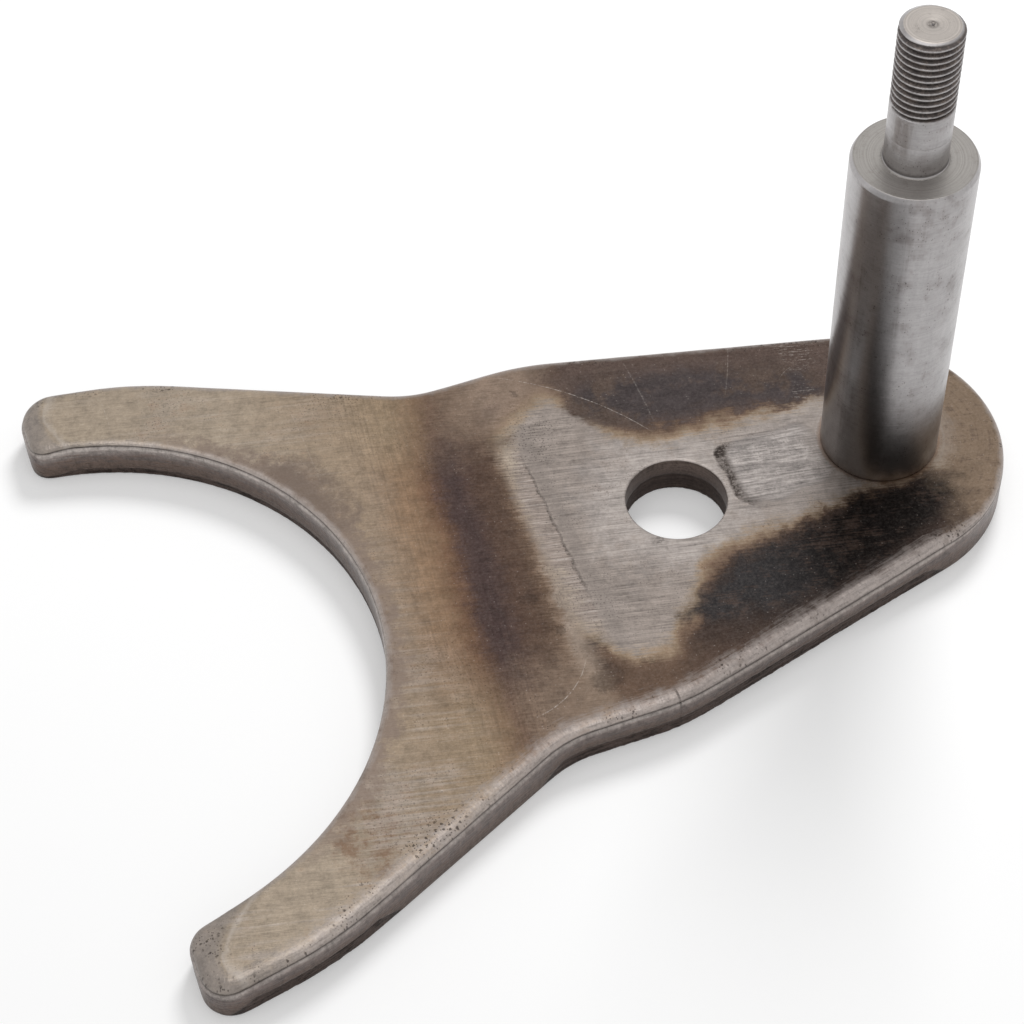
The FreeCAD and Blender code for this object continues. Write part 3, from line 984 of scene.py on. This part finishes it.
def top_marks(grain, colour, bright, fine_grid):
    """Add painted shade in the crease at the edge of the first ground band and beside it, blotches, pits,
    painted glints, scratches and scuffs.
    """
    x, y, wobble, soft, mottle, fine, flat = grain.take("x y wobble soft mottle fine flat")
    # Painted shade: a dark line in the crease at the edge of the first ground band, and a darker strip on its
    # inner side
    crease_line = abs(x + 65.4 + wobble * 0.9 + fine * 0.3)
    crease_shade = fade(crease_line, 0.5, 0.1) * fade(abs(y - 2) + wobble * 8, 20, 15)
    colour = mix(colour, GRIME_AND_SHADE, crease_shade * (0.4 + fine + mottle * 0.5))
    colour = mix(colour, SILVER_CLOUD_AND_SHADE, fade(abs(x + 63.5), 1.9, 0.5) * bright * 0.35)
    colour = mix(colour, GRIME_AND_SHADE, blobs(flat, BLOTCHES, fine * 0.8 + mottle * 2) * 0.32)
    pitted = fade(wobble + soft + mottle * 0.5, -0.1, 0.45)
    corner_pits = blob(flat, *CORNER_PITS, wobble * 4) * 0.9
    pits = specks(flat, 1.1, 0.19, 0.5) * greater(pitted * 0.7, corner_pits)
    pits = greater(pits, fine_grid * greater(pitted * 0.5, corner_pits))
    colour = mix(colour, GRIME_AND_SHADE, pits * 0.6)
    # Painted glints: light specks standing in for glints of light on the metal
    painted_glints = specks(shifted(flat, (7, 3, 0)), 1.3, 0.15, 0.25)
    colour = mix(colour, SCUFF_AND_GLINT, painted_glints * fade(mottle, -0.3, 0.3) * 0.22)
    for marks, mark_paint in ((LIGHT_SCRATCHES, SCUFF_AND_GLINT), (DARK_SCRATCHES, GRIME_AND_SHADE)):
        marked = 0
        for start, middle, end, width, strength in marks:
            marked = greater(scratch(flat, start, middle, end, width) * strength, marked)
        colour = mix(colour, mark_paint, marked * (fine * 1.6 + 0.45))
    scuffed = greater(blob(flat, *LONG_SCUFF, wobble * 6), blob(flat, *FOOT_SCUFF, wobble * 3))
    return mix(colour, SCUFF_AND_GLINT, scuffed * fade(fine + grain.lines + grain.steep, 0.1, 0.9) * 0.32)


def shaft_surround(grain, colour):
    """Add turned rings and rust round the foot of the shaft."""
    mottle, fine, from_shaft = grain.take("mottle fine from_shaft")
    rings = cloud(from_shaft, 2.2, 2, 0.7, "1D")
    foot = fade(from_shaft + mottle * 3, 16.5, 11.5) * fade(grain.y + grain.x * 0.3, -14, 2)
    colour = mix(colour, SILVER, foot * (0.4 + rings * 0.5))
    near_rings = fade(from_shaft, 16, 14.5) * fade(rings + fine * 0.3, 0.15, 0.5)
    colour = mix(colour, SILVER, near_rings * 0.18)
    return mix(colour, RUST, fade(from_shaft + fine * 0.5, 12.1, 11.3) * 0.4)


def worn_edges(grain, colour, rim_share, run, fall, fine_grid):
    """Add tarnish along the mouth, and rolled edges worn bright, duller and pitted at the tips."""
    x, wobble, soft, mottle, fine, flat = grain.take("x wobble soft mottle fine flat")
    along_edge = cloud(joined(run * 0.14, rim_share * 9), 1, 3, 0.7)
    stain = blob(flat, *MOUTH_STAIN, wobble * 6)
    mouth_share = (grain.from_mouth + wobble * 4.5 + mottle * 2 + fine * 0.6) / (4.2 + stain * 5)
    tarnish = fade(mouth_share, 1.25, 0.35) * fade(x + wobble * 8, -136, -120)
    darker = greater(stain * 0.6, fade(mottle + fine * 0.5, 0, 0.6) * 0.75)
    colour = mix(colour, mix(TARNISH, TARNISH_DARK, darker), tarnish * 0.85)
    dull = greater(fade(x, -132, -146), fade(mottle + soft, 0, 0.7) * 0.6)
    worn = mix(WORN_GREY, WORN_DULL, dull)
    worn = tinted(worn, 1 + along_edge * 0.6 + fine * 0.4 + mottle * 0.2)
    rim = fade(rim_share + along_edge * 0.6 + mottle * 0.6 + fine * 0.2, 1.2, 0.1)
    colour = mix(colour, worn, rim * 0.85)
    facet = fade(fall + mottle * 0.05, 0.06, 0.3) * 0.7
    colour = mix(colour, tinted(WORN_DULL, 1 + fine * 0.25 + mottle * 0.3), facet)
    ridge = fade(abs(fall - 0.06 + fine * 0.02), 0.07, 0)
    colour = mix(colour, SCUFF_AND_GLINT, ridge * fade(rim_share, 0, 0.3) * 0.28)
    uneven = shifted(flat, joined(fine * 0.35, mottle * 0.5))
    clustered = fade(soft + wobble + mottle * 0.8, -0.05, 0.4)
    clustered = greater(clustered, blobs(flat, PIT_CLUSTERS, wobble * 3))
    pits = greater(specks(uneven, 1.15, 0.3, 0.45), fine_grid * 0.9) * clustered
    pits = pits * greater(fade(rim_share, 1.9, 0.8), facet) * fade(grain.from_mouth, 1, 3)
    return mix(colour, GRIME_AND_SHADE, pits * 0.75)


def side_walls(grain, colour, zone, in_hole, level, lumps, run):
    """Add the walls: light under the crease, grey where sheared, dark at the tear, broken below it, with
    painted shade in the crease and at the step of the tear.
    """
    fine = grain.fine
    at_mouth = fade(abs(grain.from_mouth), 1.2, 0.6)
    upright = cloud(joined(run * 1.2, grain.z * 0.25), 1, 2, 0.65)
    wall = mix(WALL_LIGHT, WALL_GREY, fade(zone + level * 0.2 - at_mouth * 0.15, 1.02, 1.3))
    wall = mix(wall, WALL_BROWN, fade(zone + level * 0.3 + lumps * 0.15, 1.35, 1.6) * 0.75)
    wall = tinted(wall, 1 + level * 0.55 + lumps * 0.5 + upright * 0.2 + fine * 0.4)
    streaked = fade(level + lumps * 0.5 + zone - 1.55, 0.15, 0.5) * fade(zone, 1.25, 1.6)
    wall = mix(wall, GRIME_AND_SHADE, streaked * 0.55)
    torn = mix(TORN_GREY, GRIME_AND_SHADE, fade(level + fine * 0.8 + lumps * 0.4, -0.2, 0.45))
    colour = mix(colour, wall, fade(zone, 0.72, 0.95))
    # Painted shade in the crease below the roll
    crease_shade = fade(abs(zone - 0.78), 0.4, 0.08)
    colour = mix(colour, GRIME_AND_SHADE, crease_shade * (0.75 + level * 0.5) * (1 - in_hole))
    # Painted shade: a dark line at the step where the tear begins
    colour = mix(colour, GRIME_AND_SHADE, fade(abs(zone - 1.88), 0.2, 0.06) * 0.85)
    colour = mix(colour, tinted(torn, 1 + fine * 0.8), fade(zone, 1.85, 2.1))
    bore = mix(HOLE_BROWN, HOLE_DARK, fade(zone + level * 0.5 + lumps * 0.4, 1.35, 2))
    bore = tinted(bore, 1 + level * 0.6 + lumps * 0.4 + fine * 0.5)
    # Painted shade: a dark line at the step where the tear begins in the hole
    bore = mix(bore, GRIME_AND_SHADE, fade(abs(zone - 1.85), 0.15, 0.03) * (0.6 + level))
    return mix(colour, bore, in_hole * fade(zone, 0.6, 1))


def underside(grain, colour):
    """Add the scaly mill face underneath."""
    wobble, lines = grain.wobble, grain.lines
    scaly = fade(grain.mottle + wobble * 0.7 + lines * 0.4, -0.2, 0.5)
    under = mix(MILL_GREY, TARNISH, scaly)
    under = mix(under, EDGE_FAR, fade(wobble + grain.soft, 0.05, 0.5) * 0.6)
    under = tinted(under, 1 + lines * 0.5 + grain.hair * 0.3 + grain.fine * 0.3 + grain.long * 0.3)
    return mix(colour, under, fade(grain.z, 0.03, 0.01))


def make_plate_finish():
    finish = Finish(bpy.data.materials.new("heat_tinted_plate"))
    grain = Grain(finish)
    x, z, fine, mottle, lines, flat = grain.take("x z fine mottle lines flat")
    rim_share, run, fall, zone = [finish.mark(name) for name in ("rim", "run", "fall", "zone")]
    joint = fade(x + grain.drag * 1.2 + grain.wobble, -71.5, -67)
    colour = mix(heat_left(grain), heat_right(grain), joint)
    silver, bright, left_band = bright_middle(grain)
    colour = ground_patch(grain, mix(colour, silver, bright))

    # Streaks left by brushing, stronger on bright steel, with clouds of stain between
    streaks = grain.long * 0.24 + lines * 0.4 + grain.hair * 0.36 + grain.steep * 0.25 * (0.4 + left_band)
    streaks = streaks * (0.38 + bright * 0.62) + mottle * 0.4 + fine * 0.2 + grain.wobble * 0.16
    colour = tinted(colour, 1 + streaks)
    fine_grid = specks(flat, 0.58, 0.15, 0.5)
    colour = top_marks(grain, colour, bright, fine_grid)
    colour = shaft_surround(grain, colour)
    colour = worn_edges(grain, colour, rim_share, run, fall, fine_grid)

    in_hole = fade(distance(flat, HOLE_CENTRE), HOLE_RADIUS + 0.525, HOLE_RADIUS + 0.225)
    level = cloud(joined(run * 0.14, z * 1.6), 1, 3.5, 0.7)
    lumps = cloud(joined(run * 0.5 + 50, z * 0.5), 1, 3.5, 0.7)
    colour = side_walls(grain, colour, zone, in_hole, level, lumps, run)
    colour = underside(grain, colour)
    height = lines * 0.4 + grain.hair * 0.25 + fine * 0.2
    height = height + (lumps * 3 + level * 1.5) * fade(rim_share, 0.9, 0.3)
    roughness = 0.37 + mottle * 0.06 + lines * 0.05 + fade(zone, 1.8, 2.2) * 0.2 + in_hole * 0.1
    return finish.steel(colour, roughness, height, 0.03)


# Shaft: ground and turned steel with stains, dark in the thread's roots, with a painted reflection down one
# side and painted shade under the stud
SHAFT_GREY = paint(166, 163, 163)
SHAFT_STAIN = paint(112, 105, 103)
FOOT_STAIN_AND_REFLECTION = paint(76, 72, 69)
FACE_GREY = paint(160, 156, 152)
END_GREY = paint(182, 175, 169)
FACE_STAIN = paint(118, 112, 107)
THREAD_DARK = paint(60, 52, 49)
THREAD_BROWN = paint(108, 96, 88)
# Way of the side that carries the painted reflection streak
PAINTED_REFLECTION_WAY = (-0.763, -0.646, 0)


def make_shaft_finish():
    finish = Finish(bpy.data.materials.new("turned_steel"))
    spot = finish.place()
    x, y, z = split(spot)
    from_axis = distance(joined(x, y), ORIGIN)
    rings = cloud(z, 5, 4, 0.7, "1D")
    drawn_rings = cloud(scaled(spot, (0.12, 0.12, 3)), 1, 2, 0.65, "3D")
    upright = cloud(scaled(spot, (1.6, 1.6, 0.06)), 1, 3, 0.65, "3D")
    face_rings = cloud(from_axis, 3.2, 3, 0.75, "1D")
    cloudy = cloud(spot, 0.13, 4, 0.65, "3D")
    mottle = cloud(spot, 0.55, 4, 0.65, "3D")
    fine = cloud(spot, 2.2, 2, 0.65, "3D")
    on_face = fade(z, SHOULDER - 0.05, SHOULDER - 0.03) * fade(z, SHOULDER + 0.2, SHOULDER + 0.05)
    on_face = on_face + fade(z, STUD_TOP - 0.14, STUD_TOP - 0.08) + fade(z, 0.04, 0.02)
    on_stud = fade(z, SHOULDER + 0.1, SHOULDER + 0.3)

    # Ground side: stains in clouds and down the shaft, fine rings, small dark pits
    stain = fade(cloudy + mottle * 0.55 + upright * 0.35, -0.1, 0.6)
    colour = mix(SHAFT_GREY, SHAFT_STAIN, stain * 0.7)
    turning = rings * 0.06 + drawn_rings * 0.14 + upright * 0.16
    colour = tinted(colour, 1 + turning + mottle * 0.2 + fine * 0.1)
    pits = specks(scaled(spot, (1, 1, 0.7)), 1, 0.2, 0.5, "3D") * fade(cloudy + mottle, -0.1, 0.35)
    fine_pits = specks(scaled(spot, (1, 1, 0.8)), 0.5, 0.13, 0.6, "3D") * fade(mottle + cloudy, -0.2, 0.3)
    colour = mix(colour, GRIME_AND_SHADE, greater(pits * 0.55, fine_pits * 0.55))

    # Painted reflection: a dark streak down one side, darker towards the foot, stands in for the dark plate
    # mirrored in the shaft
    facing = reach_along(spot, PAINTED_REFLECTION_WAY) / SHAFT_RADIUS
    painted_reflection_streak = fade(facing + upright * 0.02, 0.88, 0.99) * (1 - on_stud)
    colour = tinted(colour, 1 - painted_reflection_streak * slope(z, 10, 75, 0.6, 0.35))
    # Low on that side the darkening is partly heat stain and partly a painted reflection of the plate's dark
    # patch; all round the foot, welding heat stained it
    foot_stain_and_reflection = fade(z + mottle * 4, 40, 9) * fade(facing, -0.5, 0.9) * fade(z, 2, 8)
    colour = mix(colour, FOOT_STAIN_AND_REFLECTION, foot_stain_and_reflection * 0.6)
    colour = mix(colour, FOOT_STAIN_AND_REFLECTION, fade(z + mottle * 3, 13, 8.5) * fade(z, 2, 8) * 0.55)

    # Thread dark between its crests, and painted shade in the corner under the stud
    in_thread = fade(z, THREAD_END - 0.5, THREAD_END + 0.2) * fade(z, STUD_TOP - 0.5, STUD_TOP - 0.8)
    root = fade(from_axis + fine * 0.06 + mottle * 0.05, STUD_RADIUS - 0.02, STUD_RADIUS - 0.22) * in_thread
    colour = mix(colour, mix(THREAD_DARK, THREAD_BROWN, fade(mottle + fine * 0.5, -0.2, 0.6)), root * 0.85)
    # Painted shade in the corner where the stud meets the shoulder, and in a ring on the shoulder round the
    # stud
    corner = fade(from_axis, 6.4, 5.8) * fade(z + fine * 0.2, SHOULDER + 1.3, SHOULDER + 0.2) * on_stud
    at_top = fade(z, STUD_TOP - 2, STUD_TOP - 1)
    face = mix(mix(FACE_GREY, END_GREY, at_top), FACE_STAIN, fade(mottle + fine * 0.4, 0.05, 0.8) * 0.6)
    face = tinted(face, 1 + face_rings * 0.35 + fine * 0.12)
    colour = mix(colour, face, on_face)
    stud_foot_shade = fade(from_axis + fine * 0.2, 6.3, 5.7) * (1 - at_top) * on_face
    colour = mix(colour, GRIME_AND_SHADE, greater(corner, stud_foot_shade) * 0.5)
    pip = fade(from_axis + fine * 0.3, 1.3, 0.6) * at_top
    colour = mix(colour, GRIME_AND_SHADE, pip * (0.5 + fine))
    height = (rings * 0.3 + drawn_rings * 0.4) * (1 - on_face) + face_rings * on_face * 0.8 + fine * 0.15
    roughness = 0.3 + cloudy * 0.05 + mottle * 0.03 + on_stud * 0.04 + on_face * 0.04 + root * 0.15
    return finish.steel(colour, roughness, height, 0.02)


# Floor, light and camera

FLOOR_SIZE = 12.0
FLOOR_COLOUR = (0.72, 0.72, 0.72)
FLOOR_GLOW = 0.28
FLOOR_FAR_GLOW = 0.42
FLOOR_FADE = (350.0, 1300.0)
WHITE = (1.0, 1.0, 1.0, 1.0)
SKY_FILL = 0.45
LAMP_AIM = Vector((-0.07, 0.0, 0.0))
KEY_WAY = (0.4545, 0.5417, 0.7071)
KEY_DISTANCE = 0.9
KEY_SIZE = 0.3
KEY_POWER = 5.0
TOP_SIZE = 0.8
TOP_HEIGHT = 0.9
TOP_POWER = 1.6
CAMERA_PLACE = (-0.164533, -0.273427, 0.370511)
CAMERA_TURN = (39.30806, 1.54761, -20.12055)
CAMERA_LENS = 87.59


def make_floor():
    bm = bmesh.new()
    bmesh.ops.create_grid(bm, x_segments=1, y_segments=1, size=FLOOR_SIZE / 2)
    finish = Finish(bpy.data.materials.new("floor_paint"))
    far_away = fade(distance(finish.place(), ORIGIN), *FLOOR_FADE)
    glow = finish.seen() * (far_away * FLOOR_FAR_GLOW + FLOOR_GLOW)
    shader = finish.node("ShaderNodeBsdfPrincipled", {}, {
        "Base Color": (*FLOOR_COLOUR, 1.0), "Roughness": 1.0, "Specular IOR Level": 0.0,
        "Emission Color": joined(glow, glow, glow), "Emission Strength": 1.0})
    finish.node("ShaderNodeOutputMaterial", {}, {"Surface": shader})
    add_mesh(bm, "floor", finish.owner)


def hang_lamp(name, way, reach, size, power):
    """Hang a round soft lamp that looks at the middle of the plate."""
    lamp = bpy.data.lights.new(name, "AREA")
    lamp.shape = "DISK"
    lamp.size = size
    lamp.energy = power
    holder = add_to_scene(name, lamp)
    way = Vector(way).normalized()
    holder.location = way * reach + LAMP_AIM
    holder.rotation_mode = "QUATERNION"
    holder.rotation_quaternion = way.to_track_quat("Z", "Y")
    return holder


def light_scene():
    world = bpy.data.worlds.new("studio")
    bpy.context.scene.world = world
    finish = Finish(world)
    fill = finish.node("ShaderNodeBackground", {}, {"Color": WHITE, "Strength": SKY_FILL})
    backdrop = finish.node("ShaderNodeBackground", {}, {"Color": WHITE, "Strength": 1.0})
    sky = finish.node("ShaderNodeMixShader", {}, {0: finish.seen(), 1: fill, 2: backdrop})
    finish.node("ShaderNodeOutputWorld", {}, {"Surface": sky})
    key = hang_lamp("key", KEY_WAY, KEY_DISTANCE, KEY_SIZE, KEY_POWER)
    key.visible_glossy = False
    hang_lamp("top", (0.0, 0.0, 1.0), TOP_HEIGHT, TOP_SIZE, TOP_POWER)


def place_camera():
    lens = bpy.data.cameras.new("camera")
    lens.lens = CAMERA_LENS
    lens.sensor_width = 36.0
    lens.clip_start = 0.01
    lens.clip_end = 50.0
    camera = add_to_scene("camera", lens)
    camera.location = CAMERA_PLACE
    camera.rotation_euler = [math.radians(turn) for turn in CAMERA_TURN]
    bpy.context.scene.camera = camera


plate = make_plate(make_plate_finish())
shaft = make_shaft(make_shaft_finish())
make_floor()
light_scene()
place_camera()
bpy.context.scene.view_settings.view_transform = "Standard"
